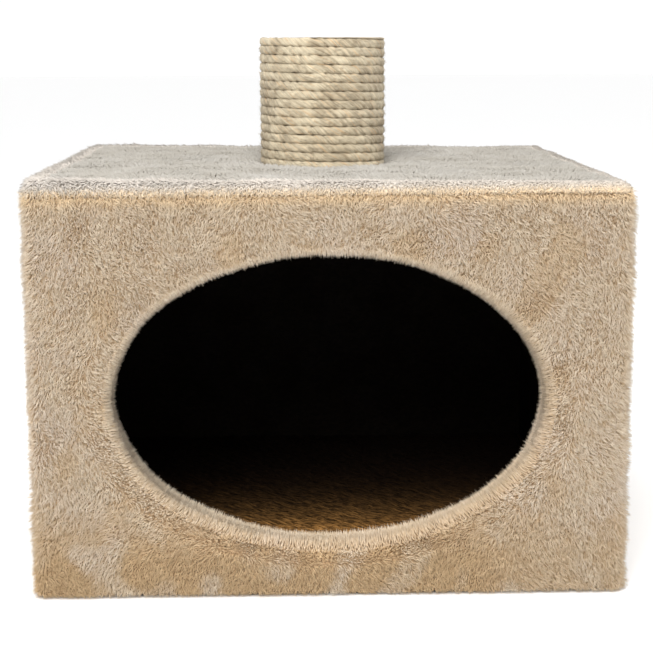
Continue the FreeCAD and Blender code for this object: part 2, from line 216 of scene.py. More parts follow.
def nearest_lock(u, v, size, seed):
    """For each point of a plane, the way to the middle of its lock and the lock's own random number.

    The middles lie one in each square cell.  Each point takes the nearest of those in its own
    cell and the eight round it.
    """
    draw = np.random.default_rng(seed)
    column, row = np.floor(u / size).astype(int), np.floor(v / size).astype(int)
    column0, row0 = column.min() - 1, row.min() - 1
    shape = (column.max() - column0 + 2, row.max() - row0 + 2)
    shift = draw.uniform(0.1, 0.9, (2, *shape))
    mark = draw.uniform(0, 1, shape)
    best = np.full(len(u), np.inf)
    to_u, to_v, own = np.zeros(len(u)), np.zeros(len(u)), np.zeros(len(u))
    for right in (-1, 0, 1):
        for above in (-1, 0, 1):
            i, j = column - column0 + right, row - row0 + above
            du = (column + right + shift[0, i, j]) * size - u
            dv = (row + above + shift[1, i, j]) * size - v
            closer = du**2 + dv**2 < best
            best = np.where(closer, du**2 + dv**2, best)
            to_u, to_v = np.where(closer, du, to_u), np.where(closer, dv, to_v)
            own = np.where(closer, mark[i, j], own)
    return to_u, to_v, own


def unit(vectors):
    """The vectors at length one."""
    return vectors / np.maximum(np.linalg.norm(vectors, axis=-1, keepdims=True), 1e-12)


# ---------------------------------------------------------------- surfaces of the cave

STRAIGHT_X, STRAIGHT_Y = HALF_X - CORNER, HALF_Y - CORNER
QUARTER = CORNER * math.pi / 2
# Lengths round the wall at which it turns from straight to round and back, from the front's middle.
ROUND = np.cumsum(
    [0, STRAIGHT_X, QUARTER, 2 * STRAIGHT_Y, QUARTER, 2 * STRAIGHT_X, QUARTER, 2 * STRAIGHT_Y, QUARTER, STRAIGHT_X]
)


def tuck(height, radius):
    """How far an edge has rolled in at a height from it: a quarter circle of the radius."""
    left = np.clip(radius - height, 0, radius)
    return radius - np.sqrt(radius**2 - left**2)


def wall(a, z, inset=WALL_INSET):
    """The cave's wall, a metres round from the middle of the front towards +X, at height z.

    The plan is a rectangle whose corners are quarter circles.  The wall rolls in at the hem and
    at the seam under the top.
    """
    a, z = np.broadcast_arrays(np.mod(a, ROUND[-1]), z)
    quarter = np.interp(a, ROUND, [0, 0, 1, 1, 2, 2, 3, 3, 4, 4]) * math.pi / 2
    middle_x = np.interp(a, ROUND, np.array([0, 1, 1, 1, 1, -1, -1, -1, -1, 0]) * STRAIGHT_X)
    middle_y = np.interp(a, ROUND, np.array([-1, -1, -1, 1, 1, 1, 1, -1, -1, -1]) * STRAIGHT_Y)
    rolled = inset + tuck(z - WALL_LOW, 2 * MM) + tuck(SEAM_LOW - z, 1.2 * MM)
    reach = CORNER - rolled
    points = np.stack([middle_x + reach * np.sin(quarter), middle_y - reach * np.cos(quarter), z], axis=-1)
    return swollen(points)


def swollen(points):
    """The points moved a little by smooth noise, as cloth over boards is never quite flat."""
    flat = points.reshape(-1, 3)
    bulge = np.stack([waves(flat, 60 * MM, 11 + k) for k in range(3)], axis=1)
    return points + (bulge * 0.35 * MM).reshape(points.shape)


ROLL_LENGTH = DOOR_ROLL * math.pi / 2
LIP_BACK = -BOARD_Y + 15 * MM  # where the lip turns back behind the front board
LIP_STRAIGHT = LIP_BACK - 2 * MM - (-BOARD_Y - CLOTH + DOOR_ROLL)
BACK_ROLL = 2 * MM
FOLD = 17 * MM
LIP_STOPS = np.cumsum([0, ROLL_LENGTH, LIP_STRAIGHT, BACK_ROLL * math.pi / 2, FOLD])


def lip(t, q):
    """The lip of the doorway: t is the angle round the oval, and q the length in from the face.

    Its section is a quarter circle off the face, a straight run through the board, a small
    quarter circle, and the part that is stapled behind.
    """
    t, q = np.broadcast_arrays(t, q)
    first = np.clip(q / LIP_STOPS[1], 0, 1) * math.pi / 2
    third = np.clip((q - LIP_STOPS[2]) / (LIP_STOPS[3] - LIP_STOPS[2]), 0, 1) * math.pi / 2
    straight = np.clip(q - LIP_STOPS[1], 0, LIP_STRAIGHT)
    room = (DOOR_Z - FLOOR_HIGH[2] - 2 * MM) / np.maximum(-np.sin(t), 1e-3) - DOOR_B - BACK_ROLL
    room = np.where(np.sin(t) < 0, np.clip(room, MM, FOLD), FOLD)
    behind = np.clip(q - LIP_STOPS[3], 0, FOLD) / FOLD * room
    off = DOOR_ROLL * (1 - np.sin(first)) + BACK_ROLL * (1 - np.cos(third)) + behind
    y = -BOARD_Y - CLOTH + DOOR_ROLL * (1 - np.cos(first)) + straight + BACK_ROLL * np.sin(third)
    points = np.stack([(DOOR_A + off) * np.cos(t), y, DOOR_Z + (DOOR_B + off) * np.sin(t)], axis=-1)
    return swollen(points)


BROW_ROLL = 6.5 * MM
LID_LEAN = 1.4 * MM
BROW_STOPS = np.cumsum([0, max(LID_TOP - BROW_ROLL - SEAM_HIGH, 0.2 * MM), BROW_ROLL * math.pi / 2, 4 * MM])


def brow(a, q):
    """The edge of the top: a is the length round the wall, and q the length up from the seam and over.

    Its section is a straight skirt, which rolls in at the seam, then a quarter circle to the top.
    """
    a, q = np.broadcast_arrays(np.mod(a, ROUND[-1]), q)
    quarter = np.interp(a, ROUND, [0, 0, 1, 1, 2, 2, 3, 3, 4, 4]) * math.pi / 2
    middle_x = np.interp(a, ROUND, np.array([0, 1, 1, 1, 1, -1, -1, -1, -1, 0]) * STRAIGHT_X)
    middle_y = np.interp(a, ROUND, np.array([-1, -1, -1, 1, 1, 1, 1, -1, -1, -1]) * STRAIGHT_Y)
    turn = np.clip((q - BROW_STOPS[1]) / (BROW_STOPS[2] - BROW_STOPS[1]), 0, 1) * math.pi / 2
    over = np.maximum(q - BROW_STOPS[2], 0)
    z = SEAM_HIGH + np.minimum(q, BROW_STOPS[1]) + BROW_ROLL * np.sin(turn)
    reach = CORNER - WALL_INSET - tuck(q, 1.2 * MM) - BROW_ROLL * (1 - np.cos(turn)) - over
    # Where the outline has gone in past its corners' middles, the whole rectangle shrinks instead.
    excess = np.maximum(0.4 * MM - reach, 0)
    reach = reach + excess
    middle_x, middle_y = middle_x * (1 - excess / STRAIGHT_X), middle_y * (1 - excess / STRAIGHT_Y)
    points = np.stack([middle_x + reach * np.sin(quarter), middle_y - reach * np.cos(quarter), z], axis=-1)
    return leaning(swollen(points))


def leaning(points):
    """The top's points, padded a little higher on the left than on the right, and not moved at the seam."""
    share = np.clip((points[..., 2] - SEAM_HIGH) / (LID_TOP - SEAM_HIGH), 0, 1)
    raised = LID_LEAN * share * (-points[..., 0] / HALF_X)
    return points + np.stack([0 * raised, 0 * raised, raised], axis=-1)


def deck(x, y):
    """The flat of the top, sinking a little all round the post."""
    x, y = np.broadcast_arrays(x, y)
    near = np.hypot(x, y) - POST_RADIUS
    z = LID_TOP - 1.4 * MM * np.exp(-np.maximum(near, 0) / (5 * MM))
    return leaning(swollen(np.stack([x, y, z], axis=-1)))


def floor_face(x, y):
    """The plush on the cave's floor."""
    x, y = np.broadcast_arrays(x, y)
    return swollen(np.stack([x, y, np.full(x.shape, FLOOR_HIGH[2] - 3.4 * MM)], axis=-1))


def frame_at(surface, u, v):
    """A surface's points, unit normals and unit directions along u and v, by small steps."""
    step = 0.05 * MM
    along = unit(surface(u + step, v) - surface(u - step, v))
    up = unit(surface(u, v + step) - surface(u, v - step))
    return surface(u, v), unit(np.cross(along, up)), along, up


# ---------------------------------------------------------------- meshes


def new_object(name, points, faces, material, smooth=True, values=(), uvs=None):
    """An object of those points and faces, with a value at each point for each named attribute."""
    mesh = bpy.data.meshes.new(name)
    faces = np.asarray(faces, np.int32)
    corners = faces.shape[1]
    mesh.vertices.add(len(points))
    mesh.vertices.foreach_set("co", np.ascontiguousarray(points, np.float32).ravel())
    mesh.loops.add(faces.size)
    mesh.loops.foreach_set("vertex_index", faces.ravel())
    mesh.polygons.add(len(faces))
    mesh.polygons.foreach_set("loop_start", np.arange(0, faces.size, corners, dtype=np.int32))
    mesh.polygons.foreach_set("use_smooth", np.full(len(faces), smooth))
    mesh.update(calc_edges=True)
    for label, numbers in values:
        attribute = mesh.attributes.new(label, "FLOAT", "POINT")
        attribute.data.foreach_set("value", np.asarray(numbers, np.float32))
    if uvs is not None:
        layer = mesh.uv_layers.new(name="OFBake")
        layer.uv.foreach_set("vector", np.asarray(uvs, np.float32).ravel())
    mesh.validate()
    mesh.materials.append(material)
    made = bpy.data.objects.new(name, mesh)
    bpy.context.scene.collection.objects.link(made)
    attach(made, "root")
    return made


def grid_faces(rows, columns, closed_rows, closed_columns):
    """Four corners of each cell of a grid of points, numbered row by row.  Its normal is row x column."""
    i = np.arange(rows if closed_rows else rows - 1)
    j = np.arange(columns if closed_columns else columns - 1)
    i, j = (x.ravel() for x in np.meshgrid(i, j, indexing="ij"))
    right, above = (i + 1) % rows, (j + 1) % columns
    return np.stack([i * columns + j, right * columns + j, right * columns + above, i * columns + above], axis=1)


def grid_uvs(faces, rows, columns, closed_rows, closed_columns):
    """The place of each face's corners in the unit square, with the square's rows along the grid's."""
    i, j = faces // columns, faces % columns
    wrapped_i = np.where((i == 0) & (i.max(axis=1, keepdims=True) == rows - 1) & closed_rows, rows, i)
    wrapped_j = np.where((j == 0) & (j.max(axis=1, keepdims=True) == columns - 1) & closed_columns, columns, j)
    return np.stack([wrapped_i / rows, wrapped_j / columns], axis=-1)


def cloth(name, outside, thickness, material, ring=False, shown=0.12):
    """A closed sheet: the grid outside, the same grid moved in along its normals, and a rim.

    A ring is closed along its rows, and its section then runs down the outside and back up the
    inside, so that the whole sheet is one grid closed both ways.
    """
    along = np.gradient(outside, axis=0)
    if ring:
        along = np.roll(outside, -1, axis=0) - np.roll(outside, 1, axis=0)
    normal = unit(np.cross(along, np.gradient(outside, axis=1)))
    inside = outside - normal * thickness
    section = np.concatenate([outside, inside[:, ::-1]], axis=1)
    rows, columns = section.shape[:2]
    faces = grid_faces(rows, columns, ring, True)
    uvs = grid_uvs(faces, rows, columns, ring, True)
    if not ring:  # the two ends of the section's tube
        half = columns // 2
        j = np.arange(half - 1)
        first = np.stack([j, j + 1, columns - 2 - j, columns - 1 - j], axis=1)
        last = first[:, ::-1] + (rows - 1) * columns
        faces = np.concatenate([faces, first, last])
        ends = np.zeros((len(first) * 2, 4, 2))
        ends[..., 0] = 0.999
        ends += np.array([[0, 0], [0.0008, 0], [0.0008, 0.0008], [0, 0.0008]])
        uvs = np.concatenate([uvs, ends])
    points = section.reshape(-1, 3)
    values = [("along", np.full(len(points), shown)), ("tint", 0.5 + 0.3 * waves(points, 9 * MM, 5)),
              ("warm", np.full(len(points), 0.3))]
    return new_object(name, points, faces, material, values=values, uvs=uvs)


def top_colour(root):
    """Creamy close to the front edge, which is painted light, with feet only a little darker than the tips."""
    none = np.zeros(len(root))
    return np.exp(-(root[:, 1] + HALF_Y) / (14 * MM)), none, none + 0.6


def floor_colour(root):
    """No warm patches, and near-black feet, part of the painted shade on the cave's floor."""
    none = np.zeros(len(root))
    return none, none, none


def wall_colour(root):
    """How warm each tuft is, how much lighter, and how pale its foot: tan low down, and orange and lighter along the
    seam, which is painted light for the glow in its crease.
    """
    height = root[:, 2] - WALL_LOW
    low = np.clip((62 * MM - height) / (38 * MM), 0, 1) * (1 - np.clip(1.2 * waves(root, 36 * MM, 202) - 0.2, 0, 0.95))
    patch = np.clip((waves(root, 46 * MM, 201) - 0.55) / 1.1, 0, 0.42)
    # Painted light: the warm glow of light bouncing in the seam's crease.
    seam = np.exp(-(((SEAM_LOW - root[:, 2]) / (6 * MM)) ** 2))
    low *= np.where(root[:, 1] < CORNER - HALF_Y, 1, 0.45) * (1 - 0.6 * np.clip(root[:, 0] / (40 * MM) - 2.3, 0, 1))
    warm = np.maximum(np.maximum(low, patch), 0.85 * seam)
    return warm, 0.33 * seam - 0.30 * low - 0.10 * patch, 0.75 * seam


def fullness(x, z):
    """How full the doorway's rim is, from 0 to 1: one swell round the oval, greatest at its lower right."""
    return 0.5 + 0.5 * np.cos(np.arctan2((z - DOOR_Z) / DOOR_B, x / DOOR_A) + math.radians(60))


def lip_colour(root):
    """The lip is plainer than the front, darker where it is full, and its tufts' feet are paler where it is full; its
    inner side is lighter and paler-footed, which is painted light against the doorway's shade.
    """
    none = np.zeros(len(root))
    full = fullness(root[:, 0], root[:, 2])
    # Painted light: the inner side, in the doorway's shade, is made lighter.
    inner = np.clip((root[:, 1] + BOARD_Y) / (4 * MM), 0, 1)
    return none + 0.08, 0.12 * inner - 0.5 * full, 0.25 + (0.35 + 0.4 * inner) * full


def brow_colour(root):
    """Painted light and shade on the top's edge: orange where it meets the seam, paler in front than on the other
    sides, and with feet nearly as pale as the tips.
    """
    # Painted light: the warm glow in the seam's crease, under the top's edge.
    seam = np.exp(-(((root[:, 2] - SEAM_HIGH - 1.5 * MM) / (2.8 * MM)) ** 2))
    front = np.clip(-(root[:, 1] + HALF_Y - 24 * MM) / (16 * MM), 0, 1)
    return 0.6 * seam, 0.95 * front - 0.45, 0.95 + 0 * seam


def tufts(name, surface, u, v, look, material, seed):
    """A pile of tufts, each a slim three-sided spike with its foot in the surface.

    A tuft leans from the surface's normal, by a tilt and towards a heading that both change
    smoothly over the surface, and a little from lock to lock.  The tilt also comes and goes in
    ripples.  Its tip is then drawn towards the middle of its lock, and stays above the ground.
    """
    draw = np.random.default_rng(seed)
    root, normal, along, up = frame_at(surface, u, v)
    count = len(root)
    to_u, to_v, own = nearest_lock(u, v, look["lock"], seed + 2)
    heading = look["heading"](root) + draw.normal(0, look["stray"], count) + (own - 0.5) * look["unruly"]
    ripple = np.sin(TURN * v / (6.5 * MM) + 2.5 * waves(root, 32 * MM, seed + 3))
    ripple *= np.clip(waves(root, 60 * MM, seed + 4), 0, 1)
    tilt = look["tilt"] + look["tilt_change"] * waves(root, 26 * MM, seed + 1) + look["ripple"] * ripple
    tilt = np.clip(np.radians(tilt) + draw.normal(0, 0.12, count), 0.05, 1.45)[:, None]
    lean = along * np.cos(heading)[:, None] + up * np.sin(heading)[:, None]
    axis = normal * np.cos(tilt) + lean * np.sin(tilt)
    size = look["pile"] * (0.84 + 0.32 * draw.random(count)) * (1 + 0.40 * look["uneven"] * (own - 0.5))
    tip = root + axis * size[:, None] + (along * to_u[:, None] + up * to_v[:, None]) * look["gather"]
    tip[:, 2] = np.maximum(tip[:, 2], (0.05 + 0.4 * own) * MM)
    axis = unit(tip - root)
    side = unit(np.cross(axis, normal + 1e-4))
    other = np.cross(axis, side)
    foot = root - axis * 0.5 * MM
    spin = draw.uniform(0, TURN, count)
    corners = []
    for k in range(3):
        turn = (spin + k * TURN / 3)[:, None]
        corners.append(foot + (side * np.cos(turn) + other * np.sin(turn)) * look["width"] / 2)
    points = np.stack([*corners, tip], axis=1).reshape(-1, 3)
    spike = np.array([[2, 1, 0], [0, 1, 3], [1, 2, 3], [2, 0, 3]])
    faces = (np.arange(count)[:, None, None] * 4 + spike).reshape(-1, 3)
    warm, lighter, foot_shown = look["colour"](root)
    tint = np.clip(0.5 + draw.normal(0, look["speckle"], count) + (own - 0.5) * 0.7 * look["uneven"] + lighter, 0, 1)
    shown = np.repeat(foot_shown[:, None], 4, axis=1)
    shown[:, 3] = look["shown"](root)
    values = [("along", shown.ravel()), ("tint", np.repeat(tint, 4)), ("warm", np.repeat(warm, 4))]
    return new_object(name, points, faces, material, values=values, uvs=tuft_uvs(count))


def tuft_uvs(count):
    """A small upright triangle for each tuft, in rows of cells.  A tuft's four faces share it."""
    cells = math.ceil(math.sqrt(count))
    cell = np.stack([np.arange(count) % cells, np.arange(count) // cells], axis=1)
    triangle = np.array([[0.08, 0.08], [0.92, 0.08], [0.5, 0.94]])
    return np.repeat((cell[:, None, :] + triangle) / cells, 4, axis=0).reshape(-1, 2)


# ---------------------------------------------------------------- shader groups


def add(tree, kind, inputs=(), **settings_of):
    """A node in a tree, with its settings, and its inputs set to a value or linked to a socket."""
    made = tree.nodes.new(kind)
    for name, value in settings_of.items():
        setattr(made, name, value)
    for key, value in dict(inputs).items():
        if isinstance(value, bpy.types.NodeSocket):
            tree.links.new(value, made.inputs[key])
        else:
            made.inputs[key].default_value = value
    return made


def mixed(tree, factor, first, second, blend="MIX"):
    """The colour between two colours, by a factor."""
    made = add(tree, "ShaderNodeMix", {0: factor, 6: first, 7: second}, data_type="RGBA", blend_type=blend)
    return made.outputs[2]


def noise(tree, vector, scale, detail=3.0, roughness=0.55):
    """The value of a noise texture."""
    inputs = {"Vector": vector, "Scale": scale, "Detail": detail, "Roughness": roughness}
    return add(tree, "ShaderNodeTexNoise", inputs).outputs["Fac"]


def spread_out(tree, value, low, high, to_low=0.0, to_high=1.0):
    """A value moved from one range to another, and kept inside it."""
    inputs = {0: value, 1: low, 2: high, 3: to_low, 4: to_high}
    return add(tree, "ShaderNodeMapRange", inputs, clamp=True).outputs[0]


def stretched(tree, vector, scale):
    """A vector scaled along each axis."""
    return add(tree, "ShaderNodeMapping", {"Vector": vector, "Scale": scale}).outputs[0]


def sum_of(tree, kind, first, second):
    """Two values put through a maths operation."""
    return add(tree, "ShaderNodeMath", {0: first, 1: second}, operation=kind).outputs[0]


def new_group(name, inputs, outputs):
    """A shader node group with named sockets: (its tree, the group's inputs by name, its output node)."""
    tree = bpy.data.node_groups.new(name, "ShaderNodeTree")
    for label, kind, default in inputs:
        socket = tree.interface.new_socket(label, in_out="INPUT", socket_type="NodeSocket" + kind)
        if default is not None:
            socket.default_value = default
    for label, kind in outputs:
        tree.interface.new_socket(label, in_out="OUTPUT", socket_type="NodeSocket" + kind)
    return tree, tree.nodes.new("NodeGroupInput").outputs, tree.nodes.new("NodeGroupOutput")


def group_of(name, build):
    """The named node group, built by its function the first time that it is asked for."""
    return bpy.data.node_groups.get(name) or build(name)


def build_pile_colour(name):
    """Colour of a pile: root to tip, each tuft a little different, with broad soft patches."""
    tree, given, out = new_group(
        name,
        [
            ("Vector", "Vector", None),
            ("Along", "Float", 0.5),
            ("Tint", "Float", 0.5),
            ("Warm", "Float", 0.0),
            ("Root", "Color", (0.3, 0.2, 0.1, 1)),
            ("Tip", "Color", (0.8, 0.7, 0.5, 1)),
            ("Warm Patch", "Color", (0.6, 0.4, 0.2, 1)),
            ("Pale Patch", "Color", (0.9, 0.8, 0.7, 1)),
            ("Pale Amount", "Float", 0.5),
        ],
        [("Colour", "Color"), ("Depth", "Float")],
    )
    pale = spread_out(tree, noise(tree, given["Vector"], 24.0, 3.0), 0.46, 0.70)
    tip = mixed(tree, sum_of(tree, "MULTIPLY", pale, given["Pale Amount"]), given["Tip"], given["Pale Patch"])
    tip = mixed(tree, given["Warm"], tip, given["Warm Patch"])
    shade = spread_out(tree, given["Tint"], 0.0, 0.85, 0.75, 0.0)
    tip = mixed(tree, shade, tip, given["Root"])
    depth = add(tree, "ShaderNodeMath", {0: given["Along"], 1: 0.85}, operation="POWER").outputs[0]
    tree.links.new(mixed(tree, depth, given["Root"], tip), out.inputs["Colour"])
    tree.links.new(depth, out.inputs["Depth"])
    return tree


def build_fibres(name):
    """Fine fibres along one direction: a mask of streaks and a height for a bump."""
    tree, given, out = new_group(
        name,
        [("Vector", "Vector", None), ("Stretch", "Vector", (1, 1, 1)), ("Scale", "Float", 100.0)],
        [("Streaks", "Float"), ("Height", "Float")],
    )
    scaled = add(tree, "ShaderNodeVectorMath", {0: given["Vector"], 1: given["Stretch"]}, operation="MULTIPLY")
    fine = noise(tree, scaled.outputs[0], given["Scale"], 5.0, 0.65)
    broad = noise(tree, scaled.outputs[0], sum_of(tree, "MULTIPLY", given["Scale"], 0.23), 3.0)
    tree.links.new(spread_out(tree, broad, 0.35, 0.65), out.inputs["Streaks"])
    tree.links.new(sum_of(tree, "ADD", fine, sum_of(tree, "MULTIPLY", broad, 0.6)), out.inputs["Height"])
    return tree


def build_wear(name):
    """Handling and dust: a soft mottling for colour, and a roughness that goes with it."""
    tree, given, out = new_group(
        name,
        [
            ("Vector", "Vector", None),
            ("Scale", "Float", 40.0),
            ("Roughness Low", "Float", 0.4),
            ("Roughness High", "Float", 0.6),
        ],
        [("Mottle", "Float"), ("Roughness", "Float")],
    )
    value = noise(tree, given["Vector"], given["Scale"], 6.0, 0.62)
    mottle = spread_out(tree, value, 0.35, 0.68)
    low = sum_of(tree, "SUBTRACT", given["Roughness High"], given["Roughness Low"])
    rough = sum_of(tree, "ADD", given["Roughness Low"], sum_of(tree, "MULTIPLY", mottle, low))
    tree.links.new(mottle, out.inputs["Mottle"])
    tree.links.new(rough, out.inputs["Roughness"])
    return tree


def placed(tree, name, build, inputs):
    """A shader group placed in a material with its own values."""
    made = tree.nodes.new("ShaderNodeGroup")
    made.node_tree = group_of(name, build)
    for key, value in inputs.items():
        if isinstance(value, bpy.types.NodeSocket):
            tree.links.new(value, made.inputs[key])
        else:
            made.inputs[key].default_value = value
    return made.outputs


# ---------------------------------------------------------------- materials


def new_material(name, **constants):
    """A material with its node tree, its Principled shader and its Object coordinates."""
    made = bpy.data.materials.new(name)
    made.use_nodes = True
    shader = made.node_tree.nodes["Principled BSDF"]
    for label, value in constants.items():
        shader.inputs[label.replace("_", " ")].default_value = value
    where = add(made.node_tree, "ShaderNodeTexCoord").outputs["Object"]
    return made, made.node_tree, shader, where


def bumped(tree, shader, height, distance, strength=1.0):
    """A bump of that height, in metres, on a shader's normal."""
    bump = add(tree, "ShaderNodeBump", {"Height": height, "Distance": distance, "Strength": strength})
    tree.links.new(bump.outputs[0], shader.inputs["Normal"])


def plush_material(name, root, tip, warm, pale, pale_amount, sheen=0.02):
    """Faux fur: matt, with a faint sheen at grazing angles."""
    made, tree, shader, where = new_material(name, Roughness=0.9, Sheen_Weight=sheen, Sheen_Roughness=0.5)
    shader.inputs["Specular IOR Level"].default_value = 0.08
    along = add(tree, "ShaderNodeAttribute", attribute_name="along").outputs["Fac"]
    tint = add(tree, "ShaderNodeAttribute", attribute_name="tint").outputs["Fac"]
    warmth = add(tree, "ShaderNodeAttribute", attribute_name="warm").outputs["Fac"]
    given = {
        "Vector": where, "Along": along, "Tint": tint, "Warm": warmth, "Root": root, "Tip": tip,
        "Warm Patch": warm, "Pale Patch": pale, "Pale Amount": pale_amount,
    }
    tree.links.new(placed(tree, "Pile Colour", build_pile_colour, given)["Colour"], shader.inputs["Base Color"])
    fibres = placed(tree, "Fibres", build_fibres, {"Vector": where, "Stretch": (1, 1, 0.35), "Scale": 1400.0})
    bumped(tree, shader, fibres["Height"], 0.3 * MM, 0.5)
    return made


def sisal_material():
    """Sisal: straw fibres along each strand, some bleached and a few brown, with painted shade between the strands."""
    look = settings("rope")
    made, tree, shader, where = new_material("sisal_fibre", Roughness=0.72, Sheen_Weight=0.1)
    run = add(tree, "ShaderNodeUVMap", uv_map="strand").outputs[0]
    streaks = placed(tree, "Fibres", build_fibres, {"Vector": run, "Stretch": (0.09, 0.95, 1), "Scale": 2.6})
    fibres = placed(tree, "Fibres", build_fibres, {"Vector": run, "Stretch": (0.03, 4.0, 1), "Scale": 4.0})
    patch = spread_out(tree, noise(tree, where, 60.0, 2.0), 0.35, 0.65)
    strands = sum_of(tree, "ADD", sum_of(tree, "MULTIPLY", streaks["Streaks"], 0.7),
                     sum_of(tree, "MULTIPLY", fibres["Streaks"], 0.3))
    paler = sum_of(tree, "ADD", sum_of(tree, "MULTIPLY", strands, 0.75), sum_of(tree, "MULTIPLY", patch, 0.36))
    colour_now = mixed(tree, paler, look.straw, look.pale)
    brown = sum_of(tree, "MULTIPLY", spread_out(tree, streaks["Streaks"], 0.66, 1.0), 0.6)
    colour_now = mixed(tree, brown, colour_now, look.rust)
    # Painted shade: darker where a strand lies deeper, towards the post.
    depth = add(tree, "ShaderNodeAttribute", attribute_name="along").outputs["Fac"]
    colour_now = mixed(tree, depth, look.painted_groove_shade, colour_now)
    tree.links.new(colour_now, shader.inputs["Base Color"])
    bumped(tree, shader, fibres["Height"], 0.5 * MM)
    return made


def board_material():
    """Particle board, painted near black as the shade inside the cave: flat flakes of several browns, pressed smooth.
    """
    made, tree, shader, where = new_material("particle_board_painted_shade")
    shader.inputs["Specular IOR Level"].default_value = 0.05
    flakes = add(tree, "ShaderNodeTexVoronoi", {"Vector": stretched(tree, where, (1, 1, 1.6)), "Scale": 320.0})
    wear = placed(tree, "Wear", build_wear, {"Vector": where, "Scale": 35.0, "Roughness Low": 0.6, "Roughness High": 0.85})
    tone = add(tree, "ShaderNodeSeparateColor", {0: flakes.outputs["Color"]}).outputs[0]
    # Near-black browns: painted shade, so that the cave's inside stays dark.
    base = mixed(tree, tone, (0.003, 0.002, 0.0012, 1), (0.008, 0.005, 0.003, 1))
    base = mixed(tree, sum_of(tree, "MULTIPLY", wear["Mottle"], 0.5), base, (0.004, 0.0025, 0.0015, 1))
    tree.links.new(base, shader.inputs["Base Color"])
    tree.links.new(wear["Roughness"], shader.inputs["Roughness"])
    bumped(tree, shader, flakes.outputs["Distance"], 0.15 * MM, 0.6)
    return made


def cardboard_material():
    """Wound board: brown paper in a steep spiral, with faint fibres."""
    made, tree, shader, where = new_material("wound_board")
    wear = placed(tree, "Wear", build_wear, {"Vector": where, "Scale": 90.0, "Roughness Low": 0.7, "Roughness High": 0.9})
    layers = add(tree, "ShaderNodeTexWave", {"Vector": where, "Scale": 320.0, "Distortion": 0.6, "Detail": 2.0},
                 wave_type="RINGS", rings_direction="Z")
    base = mixed(tree, wear["Mottle"], (0.30, 0.19, 0.10, 1), (0.43, 0.29, 0.17, 1))
    base = mixed(tree, sum_of(tree, "MULTIPLY", layers.outputs["Fac"], 0.35), base, (0.20, 0.12, 0.06, 1))
    tree.links.new(base, shader.inputs["Base Color"])
    tree.links.new(wear["Roughness"], shader.inputs["Roughness"])
    fibres = placed(tree, "Fibres", build_fibres, {"Vector": where, "Stretch": (1, 1, 0.2), "Scale": 900.0})
    bumped(tree, shader, fibres["Height"], 0.12 * MM, 0.6)
    return made


def plug_material():
    """Sawn pine: growth rings about a heart outside the plug, with dark late wood."""
    made, tree, shader, where = new_material("sawn_pine")
    heart = add(tree, "ShaderNodeMapping", {"Vector": where, "Location": (0.055, 0.021, 0.0)}).outputs[0]
    rings = add(tree, "ShaderNodeTexWave", {"Vector": heart, "Scale": 95.0, "Distortion": 2.2, "Detail": 3.0,
                "Detail Scale": 0.6}, wave_type="RINGS", rings_direction="Z", wave_profile="SAW")
    wear = placed(tree, "Wear", build_wear, {"Vector": where, "Scale": 60.0, "Roughness Low": 0.5, "Roughness High": 0.75})
    pores = placed(tree, "Fibres", build_fibres, {"Vector": where, "Stretch": (1, 1, 0.15), "Scale": 1500.0})
    base = mixed(tree, rings.outputs["Fac"], (0.62, 0.43, 0.24, 1), (0.40, 0.23, 0.10, 1))
    base = mixed(tree, sum_of(tree, "MULTIPLY", pores["Streaks"], 0.35), base, (0.70, 0.53, 0.33, 1))
    base = mixed(tree, sum_of(tree, "MULTIPLY", wear["Mottle"], 0.25), base, (0.33, 0.20, 0.10, 1))
    tree.links.new(base, shader.inputs["Base Color"])
    tree.links.new(wear["Roughness"], shader.inputs["Roughness"])
    bumped(tree, shader, pores["Height"], 0.1 * MM, 0.6)
    return made


def steel_material(name, pale, dark):
    """Plated steel: pale, with dull blotches in the plating and fine drawn lines."""
    made, tree, shader, where = new_material(name, Metallic=1.0)
    wear = placed(tree, "Wear", build_wear, {"Vector": where, "Scale": 400.0, "Roughness Low": 0.25, "Roughness High": 0.5})
    tree.links.new(mixed(tree, wear["Mottle"], pale, dark), shader.inputs["Base Color"])
    tree.links.new(wear["Roughness"], shader.inputs["Roughness"])
    lines = placed(tree, "Fibres", build_fibres, {"Vector": where, "Stretch": (1, 1, 0.1), "Scale": 3000.0})
    bumped(tree, shader, lines["Height"], 0.02 * MM, 0.5)
    return made


def felt_material():
    """Needle felt: charcoal fibres lying every way, with paler specks."""
    made, tree, shader, where = new_material("needle_felt", Roughness=0.95, Sheen_Weight=0.2)
    first = placed(tree, "Fibres", build_fibres, {"Vector": where, "Stretch": (1, 0.25, 1), "Scale": 1200.0})
    second = placed(tree, "Fibres", build_fibres, {"Vector": where, "Stretch": (0.25, 1, 1), "Scale": 1100.0})
    patch = placed(tree, "Wear", build_wear, {"Vector": where, "Scale": 25.0})
    tangle = sum_of(tree, "MAXIMUM", first["Height"], second["Height"])
    base = mixed(tree, spread_out(tree, tangle, 0.7, 1.05), (0.010, 0.010, 0.011, 1), (0.060, 0.060, 0.064, 1))
    base = mixed(tree, sum_of(tree, "MULTIPLY", patch["Mottle"], 0.4), base, (0.022, 0.021, 0.022, 1))
    tree.links.new(base, shader.inputs["Base Color"])
    bumped(tree, shader, tangle, 0.35 * MM)
    return made


def finish_nodes(names, material):
    """Gives CAD nodes a material in place of the packed one."""
    for name in names:
        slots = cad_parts[name].data.materials
        slots.clear()
        slots.append(material)


# ---------------------------------------------------------------- the plush pieces


def sheet_area(points):
    """The area of a grid of points, as the sum of its cells."""
    cross = np.cross(np.diff(points, axis=0)[:, :-1], np.diff(points, axis=1)[:-1])
    return float(np.linalg.norm(cross, axis=-1).sum())


def heading_field(base, swirl, seed):
    """A heading at each root, in the surface's own directions: a base that swirls smoothly about."""

    def heading(root):
        broad, fine = waves(root, 95 * MM, seed), waves(root, 22 * MM, seed + 1)
        return base + swirl * broad + 0.35 * swirl * fine

    return heading


